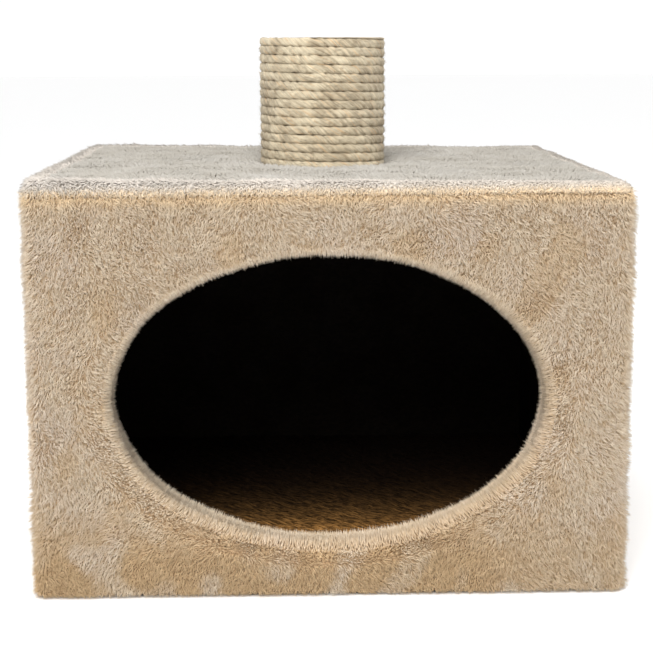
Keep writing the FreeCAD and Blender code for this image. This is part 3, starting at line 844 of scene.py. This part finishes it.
def into_doorway(field):
    """A heading that follows a field, and turns square to the oval, inwards, close to the doorway."""

    def heading(root):
        x, z = root[:, 0], root[:, 2] - DOOR_Z
        apart = (np.hypot(x / DOOR_A, z / DOOR_B) - 1) * DOOR_B - DOOR_ROLL
        close = np.exp(-((np.maximum(apart, 0) / (7 * MM)) ** 2))
        usual = field(root)
        inwards = np.arctan2(-z / DOOR_B**2, -x / DOOR_A**2)
        return np.arctan2(
            (1 - close) * np.sin(usual) + close * np.sin(inwards), (1 - close) * np.cos(usual) + close * np.cos(inwards)
        )

    return heading


def wall_look(seed, spacing, **changes):
    """How the pile of a wall stands: downwards in the main, in swirls, gathered in locks."""
    plush = settings("plush")
    look = {
        "pile": plush.pile, "lock": plush.lock, "width": spacing * 0.88, "tilt": 38, "tilt_change": 10,
        "stray": 0.55, "gather": 0.38, "heading": heading_field(-math.pi / 2, 0.9, seed), "unruly": 1.1,
        "ripple": 16, "speckle": 0.40, "uneven": 1.15, "colour": wall_colour, "shown": lambda root: np.ones(len(root)),
    }
    look.update(changes)
    return look


class CATTREE_OT_front(bpy.types.Operator):
    """Makes the plush front, with its lip turned into the doorway"""

    bl_idname = "cattree.front"
    bl_label = "Plush Front"

    def execute(self, context):
        material = bpy.data.materials["wall_plush"]
        plush = settings("plush")
        sheet, area = self.sheet(material)
        face_a = STRAIGHT_X + QUARTER
        u, v = jittered(2 * face_a, SEAM_LOW - WALL_LOW, plush.fine, 21)
        u, v = u - face_a, v + WALL_LOW
        start_a, start_b = DOOR_A + DOOR_ROLL - 1.5 * MM, DOOR_B + DOOR_ROLL - 1.5 * MM
        on_face = (u / start_a) ** 2 + ((v - DOOR_Z) / start_b) ** 2 > 1
        look = wall_look(30, plush.fine, heading=into_doorway(heading_field(-math.pi / 2, 0.9, 30)))
        for name, part, seed in (("front_pile_upper", v >= DOOR_Z, 22), ("front_pile_lower", v < DOOR_Z, 23)):
            chosen = on_face & part
            tufts(name, wall, u[chosen], v[chosen], look, material, seed)
        reach = LIP_STOPS[2] + BACK_ROLL
        around = math.pi * (DOOR_A + DOOR_B)
        t, q = jittered(around, reach, 0.85 * MM, 24)
        place = lip(t / around * TURN, q)
        full = fullness(place[:, 0], place[:, 2])
        lean = 68 - 24 * full - 78 * full * q / LIP_STOPS[2]
        look = wall_look(31, 1.2 * MM, heading=lambda root: np.sign(lean) * math.pi / 2, tilt=abs(lean),
                         tilt_change=3, pile=(4.6 + 1.5 * full) * MM, stray=0.12, gather=0.1, unruly=0.15, ripple=0,
                         speckle=0.12, uneven=0.35, colour=lip_colour)
        tufts("doorway_pile", lambda s, q: lip(s / around * TURN, q), t, q, look, material, 25)
        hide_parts("front_cover")
        return {"FINISHED"}

    def sheet(self, material):
        """The cloth and its area: from its edge to the oval in straight lines, then along the lip's section."""
        half_a = STRAIGHT_X + QUARTER
        start_a, start_b = DOOR_A + DOOR_ROLL, DOOR_B + DOOR_ROLL
        top, bottom = SEAM_LOW - DOOR_Z, WALL_LOW - DOOR_Z
        # The rays to the cloth's four corners are among the angles, so that its corners are whole.
        corners = [math.atan2(z / start_b, a / start_a) for a in (half_a, -half_a) for z in (top, bottom)]
        t = np.sort(np.concatenate([np.linspace(-math.pi, math.pi, 400, endpoint=False), corners]))
        x, z = start_a * np.cos(t), start_b * np.sin(t)
        to_side = half_a / np.maximum(abs(x), 1e-9)
        to_edge = np.minimum(to_side, np.where(z > 0, top, -bottom) / np.maximum(abs(z), 1e-9))
        share = np.linspace(1, 0, 24, endpoint=False)[None, :]
        spread_to = 1 + (to_edge[:, None] - 1) * share
        face = wall(x[:, None] * spread_to, DOOR_Z + z[:, None] * spread_to)
        q = np.concatenate([np.linspace(0, LIP_STOPS[1], 6), np.linspace(LIP_STOPS[1], LIP_STOPS[2], 6)[1:],
                            np.linspace(LIP_STOPS[2], LIP_STOPS[3], 4)[1:], np.linspace(LIP_STOPS[3], LIP_STOPS[4], 6)[1:]])
        grid = np.concatenate([face, lip(t[:, None], q[None, :])], axis=1)
        return cloth("front_sheet", grid, CLOTH_THICK, material, ring=True), sheet_area(grid)


class CATTREE_OT_walls(bpy.types.Operator):
    """Makes the plush of the two sides and the back"""

    bl_idname = "cattree.walls"
    bl_label = "Plush Walls"

    def execute(self, context):
        material = bpy.data.materials["wall_plush"]
        spacing = settings("plush").coarse
        spans = (("right", ROUND[2], ROUND[3], 40), ("back", ROUND[3], ROUND[6], 50), ("left", ROUND[6], ROUND[7], 60))
        for name, start, stop, seed in spans:
            a = np.linspace(start, stop, 110)[:, None]
            z = np.concatenate([WALL_LOW + 5 * MM * np.linspace(0, 1, 7) ** 2,
                                np.linspace(WALL_LOW + 5 * MM, SEAM_LOW - 3 * MM, 62)[1:-1],
                                SEAM_LOW - 3 * MM * np.linspace(1, 0, 6) ** 2])[None, :]
            grid = wall(a, z)
            sheet = cloth(name + "_sheet", grid, CLOTH_THICK, material)
            u, v = jittered(stop - start, SEAM_LOW - WALL_LOW, spacing, seed)
            pile = tufts(name + "_pile", wall, u + start, v + WALL_LOW, wall_look(seed + 1, spacing), material, seed + 2)
            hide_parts(name + "_cover")
        return {"FINISHED"}


class CATTREE_OT_top(bpy.types.Operator):
    """Makes the plush top, sewn on under its edge and pressed down round the post"""

    bl_idname = "cattree.top"
    bl_label = "Plush Top"

    def execute(self, context):
        plush = settings("plush")
        material, edging = bpy.data.materials["top_plush_painted_shade"], bpy.data.materials["edge_plush_painted_light"]
        sheet = self.sheet(material)
        half_x, half_y = (half - WALL_INSET - BROW_ROLL - 3 * MM for half in (HALF_X, HALF_Y))
        heading = heading_field(-math.pi / 2, 0.45, 71)
        look = wall_look(70, plush.coarse, heading=heading, tilt=62, tilt_change=6, pile=plush.top_pile,
                         stray=0.2, gather=0.2, unruly=0.2, ripple=0, speckle=0.15, colour=top_colour)
        u, v = jittered(2 * half_x, 2 * half_y, plush.coarse, 72)
        u, v = u - half_x, v - half_y
        clear = np.hypot(u, v) > POST_RADIUS + 0.3 * MM
        for name, part, seed in (("top_pile_front", v < 0, 73), ("top_pile_back", v >= 0, 74)):
            chosen = clear & part
            tufts(name, deck, u[chosen], v[chosen], look, material, seed)
        u, v = jittered(ROUND[-1], BROW_STOPS[3], 1.0 * MM, 75)
        lower = 1 - 0.32 * brow(u, v)[:, 0] / HALF_X
        look = wall_look(76, 1.6 * MM, heading=heading_field(-math.pi / 2, 0.3, 77), tilt=66 + 6 * v / BROW_STOPS[3], tilt_change=4,
                         pile=5.0 * MM * lower, gather=0.1, unruly=0.3, ripple=0, speckle=0.12, uneven=0.4, colour=brow_colour)
        tufts("top_edge_pile", brow, u, v, look, edging, 78)
        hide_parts("top_cover")
        return {"FINISHED"}

    def sheet(self, material):
        """The cloth: up from the seam and over the edge, then in straight lines to the ring round the post."""
        a = np.sort(np.concatenate([np.linspace(0, ROUND[-1], 380, endpoint=False), ROUND[1:-1]]))
        q = np.concatenate([np.linspace(0, BROW_STOPS[1], 5), np.linspace(BROW_STOPS[1], BROW_STOPS[2], 7)[1:]])
        edge = brow(a[:, None], q[None, :])
        start = edge[:, -1]
        bearing = np.arctan2(start[:, 1], start[:, 0])
        inner = np.stack([np.cos(bearing), np.sin(bearing)], axis=1) * (POST_RADIUS + 0.4 * MM)
        share = (1 - np.linspace(1, 0, 28)[1:] ** 1.6)[None, :, None]
        flat = start[:, None, :2] * (1 - share) + inner[:, None] * share
        grid = np.concatenate([edge, deck(flat[..., 0], flat[..., 1])], axis=1)
        # The top's sheet shows mostly its tip colour: painted light that fills the shade between the tufts.
        return cloth("top_sheet", grid, CLOTH_THICK, material, ring=True, shown=0.8)


class CATTREE_OT_floor(bpy.types.Operator):
    """Makes the plush on the cave's floor"""

    bl_idname = "cattree.floor"
    bl_label = "Plush Floor"

    def execute(self, context):
        material = bpy.data.materials["cave_floor_plush"]
        low, high = FLOOR_LOW, FLOOR_HIGH
        x = np.linspace(low[0], high[0], 90)[:, None]
        y = np.linspace(low[1], high[1], 90)[None, :]
        sheet = cloth("floor_sheet", floor_face(x, y), 2.0 * MM, material)
        u, v = jittered(high[0] - low[0] - 4 * MM, high[1] - low[1] - 4 * MM, 1.65 * MM, 81)
        # The tips turn from brown by the doorway to the near-black root further in: painted shade inside the cave.
        look = wall_look(82, 1.65 * MM, heading=heading_field(math.pi, 0.08, 83), tilt=81, tilt_change=3, pile=9 * MM,
                         width=1.7 * MM, stray=0.12, unruly=0.3, ripple=0, colour=floor_colour,
                         shown=lambda root: np.clip(np.exp((FLOOR_LOW[1] + 62 * MM - root[:, 1]) / (27 * MM)), 0, 1))
        pile = tufts("floor_pile", floor_face, u + low[0] + 2 * MM, v + low[1] + 2 * MM, look, material, 84)
        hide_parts("floor_cover")
        return {"FINISHED"}


class CATTREE_OT_felt(bpy.types.Operator):
    """Makes the felt under the base, held flat by the hem's staples"""

    bl_idname = "cattree.felt"
    bl_label = "Underside Felt"

    def execute(self, context):
        half = (FELT_HIGH - FELT_LOW) / 2
        radius = 8 * MM
        # A rounded rectangle drawn in towards its middle: rings of the same outline, each smaller.
        turn = np.linspace(0, TURN, 240, endpoint=False)
        outline = np.stack([np.cos(turn), np.sin(turn)], axis=1)
        reach = np.minimum(1 / np.maximum(abs(outline[:, 0]), 1e-9), 1 / np.maximum(abs(outline[:, 1]), 1e-9))
        square = outline * reach[:, None] * (half[:2] - radius)
        rim = square + unit(outline * reach[:, None] ** 6) * radius
        share = np.linspace(1, 0.0004, 30)[None, :, None]
        plan = rim[:, None] * share
        flat = np.concatenate([plan, np.zeros((*plan.shape[:2], 1))], axis=2)
        lift = 0.12 * MM * (1 + waves(flat.reshape(-1, 3), 30 * MM, 91)).reshape(flat.shape[:2])
        flat[..., 2] = FELT_HIGH[2] - 0.02 * MM - np.clip(lift, 0, 0.3 * MM)
        made = cloth("felt_sheet", flat, 1.15 * MM, bpy.data.materials["needle_felt"], ring=True)
        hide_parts("underside_felt")
        return {"FINISHED"}


# ---------------------------------------------------------------- the post


def rope_path(turn):
    """The middle of the rope after turning by an angle from the front, clockwise from above.

    It is a helix that climbs its own thickness in each turn, from one turn below the post's foot
    to one turn above its top.
    """
    pitch = (ROPE_HIGH[2] - ROPE_LOW[2]) / (settings("rope").turns + 1)
    rope = POST_RADIUS - TUBE_HIGH[0]
    radius = TUBE_HIGH[0] + rope / 2
    bearing = -math.pi / 2 - turn
    z = TUBE_LOW[2] - pitch / 2 + pitch * turn / TURN
    return np.stack([radius * np.cos(bearing), radius * np.sin(bearing), z], axis=-1), bearing, pitch


def level_ends(points, middle, pitch):
    """The rope squeezed where it would pass the post's foot or top, so that both of its ends are level."""
    low, high = TUBE_LOW[2], TUBE_HIGH[2]
    bottom, top = middle - pitch / 2, middle + pitch / 2
    held_low, held_high = np.maximum(bottom, low), np.minimum(top, high)
    share = (points[..., 2] - bottom) / pitch
    points[..., 2] = held_low + share * np.maximum(held_high - held_low, 0.12 * MM)
    return points


def strand_points(turn, phase, around, radius):
    """A strand's surface: its middle circles the rope's middle once in each lay, right-handed.

    Its section is round with small ridges along it.  Then the whole rope is spread a little up
    and down, so that each turn beds into the next, and its outer side is pressed flatter.
    """
    look = settings("rope")
    middle, bearing, pitch = rope_path(turn)
    outwards = np.stack([np.cos(bearing), np.sin(bearing), np.zeros_like(bearing)], axis=-1)
    upwards = np.broadcast_to([0.0, 0.0, 1.0], outwards.shape)
    run = turn * math.hypot(TUBE_HIGH[0] + 3 * MM, pitch / TURN)
    twist = phase + run * TURN / look.lay + 0.6 * waves(middle, 26 * MM, 102)
    loose = 0.20 * MM * waves(middle + phase, 12 * MM, 101)
    offset = (POST_RADIUS - TUBE_HIGH[0]) / 2 - radius + 0.12 * MM + loose
    side = twist[:, None] + around[None, :]
    ridges = 1 + 0.035 * np.sin(5 * side - 0.35 * twist[:, None]) + 0.03 * np.sin(9 * around[None, :] + run[:, None] * 700)
    swell = 1 + 0.11 * waves(middle + 2 * phase, 8 * MM, 103)
    reach = radius * ridges * swell[:, None]
    out = (offset * np.cos(twist))[:, None] + reach * np.cos(side)
    over = (offset * np.sin(twist))[:, None] + reach * np.sin(side)
    pressed = (POST_RADIUS - TUBE_HIGH[0]) / 2 - 1.0 * MM
    out = np.where(out > pressed, pressed + (out - pressed) * 0.45, out)
    points = middle[:, None] + outwards[:, None] * out[..., None] + upwards[:, None] * over[..., None] * 1.1
    return level_ends(points, middle[:, None, 2], pitch), run


class CATTREE_OT_rope(bpy.types.Operator):
    """Makes the sisal rope, as three strands twisted together and wound round the post"""

    bl_idname = "cattree.rope"
    bl_label = "Sisal Rope"

    def execute(self, context):
        look = settings("rope")
        material = sisal_material()
        pitch = rope_path(np.zeros(1))[2]
        turns = (TUBE_HIGH[2] - TUBE_LOW[2]) / pitch + 0.98
        turn = np.linspace(0.02 * TURN, turns * TURN, 2500)
        sides = 10
        around = np.linspace(0, TURN, sides, endpoint=False)
        points, faces, uvs, depth, start = [], [], [], [], 0
        for strand in range(3):
            tube, run = strand_points(turn, strand * TURN / 3, around, look.strand)
            rows = len(turn)
            body = grid_faces(rows, sides, False, True)[:, ::-1]
            points.append(tube.reshape(-1, 3))
            faces.append(body + start)
            place = grid_uvs(body, rows, sides, False, True)
            uvs.append(np.stack([place[..., 0], (place[..., 1] + strand) / 3], axis=-1))
            # How far out each point lies, which sets the painted shade between the strands.
            shown = np.clip((np.hypot(tube[..., 0], tube[..., 1]) - TUBE_HIGH[0]) / (POST_RADIUS - TUBE_HIGH[0]), 0, 1)
            depth.append(np.clip((shown - 0.38) / 0.26, 0, 1).ravel())
            j = np.arange(sides // 2 - 1)
            first = np.stack([j, j + 1, sides - 2 - j, sides - 1 - j], axis=1)
            caps = np.concatenate([first, first[:, ::-1] + (rows - 1) * sides])
            faces.append(caps + start)
            uvs.append(np.full((len(caps), 4, 2), 0.0005) + np.array([[0, 0], [4e-4, 0], [4e-4, 4e-4], [0, 4e-4]]))
            start += rows * sides
        made = self.join(np.concatenate(points), np.concatenate(faces), np.concatenate(uvs), np.concatenate(depth), material, run)
        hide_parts("sisal_rope")
        self.fuzz(turn, material)
        return {"FINISHED"}

    def join(self, points, faces, uvs, depth, material, run):
        """The three strands as one mesh, with a map in millimetres for the fibres."""
        made = new_object("sisal_strands", points, faces, material, values=[("along", depth)], uvs=uvs)
        layer = made.data.uv_layers.new(name="strand")
        flat = np.zeros(len(made.data.loops) * 2, np.float32)
        made.data.uv_layers["OFBake"].uv.foreach_get("vector", flat)
        scaled = flat.reshape(-1, 2) * [run[-1] / MM, 30.0]
        layer.uv.foreach_set("vector", scaled.astype(np.float32).ravel())
        return made

    def fuzz(self, turn, material):
        """Loose fibres: slim spikes that leave the rope nearly along it."""
        draw = np.random.default_rng(111)
        count = 5200
        at = draw.uniform(turn[0] + TURN, turn[-1] - TURN, count)
        middle, bearing, pitch = rope_path(at)
        outwards = np.stack([np.cos(bearing), np.sin(bearing), np.zeros(count)], axis=1)
        onwards = np.stack([np.sin(bearing), -np.cos(bearing), np.zeros(count)], axis=1) * draw.choice([-1, 1], count)[:, None]
        upwards = np.array([0.0, 0.0, 1.0])
        side = draw.uniform(-1.1, 1.1, count)[:, None]
        out = outwards * np.cos(side) + upwards * np.sin(side)
        foot = middle + out * (POST_RADIUS - TUBE_HIGH[0]) / 2 * 0.86
        size = draw.uniform(2.0, 7.0, count)[:, None] * MM
        axis = unit(onwards + out * draw.uniform(0.08, 0.45, (count, 1)) + upwards * draw.normal(0, 0.25, (count, 1)))
        tip = foot + axis * size
        tip[:, 2] = np.clip(tip[:, 2], TUBE_LOW[2], TUBE_HIGH[2])
        across, other = unit(np.cross(axis, out)), out
        corners = [foot + (across * math.cos(k * TURN / 3) + other * math.sin(k * TURN / 3)) * 0.12 * MM for k in range(3)]
        points = np.stack([*corners, tip], axis=1).reshape(-1, 3)
        spike = np.array([[0, 1, 2], [1, 0, 3], [2, 1, 3], [0, 2, 3]])
        faces = (np.arange(count)[:, None, None] * 4 + spike).reshape(-1, 3)
        made = new_object("sisal_fuzz", points, faces, material, values=[("along", np.ones(count * 4))], uvs=tuft_uvs(count))
        layer = made.data.uv_layers.new(name="strand")
        layer.uv.foreach_set("vector", (tuft_uvs(count) * 300).astype(np.float32).ravel())
        return made


class CATTREE_OT_frame_finishes(bpy.types.Operator):
    """Gives the boards, the tube, the plugs and the fasteners their finishes"""

    bl_idname = "cattree.frame_finishes"
    bl_label = "Board and Post Finishes"

    def execute(self, context):
        boards = ["base_board", "front_panel", "back_panel", "left_panel", "right_panel", "top_board"]
        finish_nodes(boards, board_material())
        finish_nodes(["post_tube"], cardboard_material())
        finish_nodes(["bottom_plug", "top_plug"], plug_material())
        zinc = steel_material("plated_steel", (0.60, 0.61, 0.63, 1), (0.40, 0.40, 0.41, 1))
        screws = ["front_panel_screws", "back_panel_screws", "base_screws", "top_board_screws"]
        finish_nodes([*screws, "post_bolt", "post_washer", "bottom_insert", "top_insert"], zinc)
        wire = steel_material("bright_wire", (0.66, 0.66, 0.66, 1), (0.45, 0.44, 0.43, 1))
        finish_nodes(["hem_staples", "lip_staples", "plug_staples", "rope_staples"], wire)
        return {"FINISHED"}


class CATTREE_OT_finishes(bpy.types.Operator):
    """Makes the finishes of the plush and the felt"""

    bl_idname = "cattree.finishes"
    bl_label = "Cloth Finishes"

    def execute(self, context):
        plush = settings("plush")
        plush_material("wall_plush", plush.root, plush.tip, plush.tan, plush.cream, 0.6)
        # The top: a greyer, darker copy of the plush, which is painted shade.
        plush_material("top_plush_painted_shade", plush.top_root, plush.top_tip, plush.edge_tip, plush.top_pale, 0.7)
        # The top's edge: another copy of the plush, with painted light and shade.
        plush_material("edge_plush_painted_light", plush.edge_root, plush.edge_tip, plush.tan, plush.cream, 0.3)
        plush_material("cave_floor_plush", plush.floor_root, plush.floor_tip, plush.floor_root, plush.floor_tip, 0.3, 0.0)
        felt_material()
        return {"FINISHED"}


# ---------------------------------------------------------------- stage


class CATTREE_OT_stage(bpy.types.Operator):
    """Makes the floor, the lights and the camera"""

    bl_idname = "cattree.stage"
    bl_label = "Stage"

    def execute(self, context):
        studio = settings("studio")
        self.floor(studio)
        self.sky(studio)
        self.light("overhead_light", (-0.25, -0.35, 1.9), 1.6, studio.key)
        self.light("front_light", (-0.3, -2.0, 1.75), 1.4, studio.fill)
        self.camera()
        return {"FINISHED"}

    def floor(self, studio):
        """A wide pale disc under the part."""
        made, tree, shader, where = new_material("pale_floor", Roughness=0.8)
        shader.inputs["Base Color"].default_value = studio.floor
        turn = np.linspace(0, TURN, 96, endpoint=False)
        points = np.stack([20 * np.cos(turn), 20 * np.sin(turn), np.full(96, -0.3 * MM)], axis=1)
        mesh = bpy.data.meshes.new("floor")
        mesh.from_pydata(points.tolist(), [], [list(range(96))])
        mesh.materials.append(made)
        disc = bpy.data.objects.new("floor", mesh)
        bpy.context.scene.collection.objects.link(disc)

    def sky(self, studio):
        """Even white light from all round."""
        world = bpy.data.worlds.new("studio")
        world.use_nodes = True
        shade = world.node_tree.nodes["Background"]
        shade.inputs["Color"].default_value = (1, 1, 1, 1)
        shade.inputs["Strength"].default_value = studio.sky
        bpy.context.scene.world = world
        bpy.context.scene.view_settings.view_transform = "Standard"

    def light(self, name, place, size, strength):
        """A square area light that faces the middle of the part."""
        data = bpy.data.lights.new(name, "AREA")
        data.size = size
        data.energy = strength
        made = bpy.data.objects.new(name, data)
        made.location = place
        aim = Vector((0, 0, CAD_BOX[1].z / 2)) - Vector(place)
        made.rotation_euler = aim.to_track_quat("-Z", "Y").to_euler()
        bpy.context.scene.collection.objects.link(made)

    def camera(self):
        """A long lens a little above the top, level with the post's end, looking slightly down."""
        data = bpy.data.cameras.new("camera")
        data.sensor_width = 36.0
        data.lens = 86.1
        pitch, yaw, roll = (math.radians(x) for x in (10.08, 1.38, -0.27))
        ahead = Vector((math.sin(yaw) * math.cos(pitch), math.cos(yaw) * math.cos(pitch), -math.sin(pitch)))
        right = Vector((math.cos(yaw), -math.sin(yaw), 0))
        up = right.cross(ahead)
        across = right * math.cos(roll) + up * math.sin(roll)
        above = up * math.cos(roll) - right * math.sin(roll)
        made = bpy.data.objects.new("camera", data)
        made.matrix_world = Matrix.Translation((-0.025, -1.1306, 0.3432)) @ Matrix((across, above, -ahead)).transposed().to_4x4()
        bpy.context.scene.collection.objects.link(made)
        bpy.context.scene.camera = made


# ---------------------------------------------------------------- panel and registration

OPERATORS = (
    CATTREE_OT_finishes, CATTREE_OT_front, CATTREE_OT_walls, CATTREE_OT_top, CATTREE_OT_floor,
    CATTREE_OT_felt, CATTREE_OT_rope, CATTREE_OT_frame_finishes, CATTREE_OT_stage,
)
SETTINGS = {"plush": CatTreePlush, "rope": CatTreeRope, "studio": CatTreeStudio}


class CATTREE_PT_panel(bpy.types.Panel):
    """Lists the pieces and their settings"""

    bl_label = "Cat Tree"
    bl_idname = "CATTREE_PT_panel"
    bl_space_type = "VIEW_3D"
    bl_region_type = "UI"
    bl_category = "Cat Tree"

    def draw(self, context):
        for group, kind in SETTINGS.items():
            box = self.layout.box()
            box.label(text=kind.__doc__)
            for name in kind.__annotations__:
                box.prop(settings(group), name)
        for operator in OPERATORS:
            self.layout.operator(operator.bl_idname)


def register():
    for kind in (*SETTINGS.values(), *OPERATORS, CATTREE_PT_panel):
        bpy.utils.register_class(kind)
    for group, kind in SETTINGS.items():
        setattr(bpy.types.Scene, "cat_tree_" + group, bpy.props.PointerProperty(type=kind))


def unregister():
    for group in SETTINGS:
        delattr(bpy.types.Scene, "cat_tree_" + group)
    for kind in (CATTREE_PT_panel, *reversed(OPERATORS), *reversed(tuple(SETTINGS.values()))):
        bpy.utils.unregister_class(kind)


def main():
    """Makes every piece in order."""
    register()
    for operator in OPERATORS:
        family, name = operator.bl_idname.split(".")
        getattr(getattr(bpy.ops, family), name)()


if __name__ == "__main__":
    main()
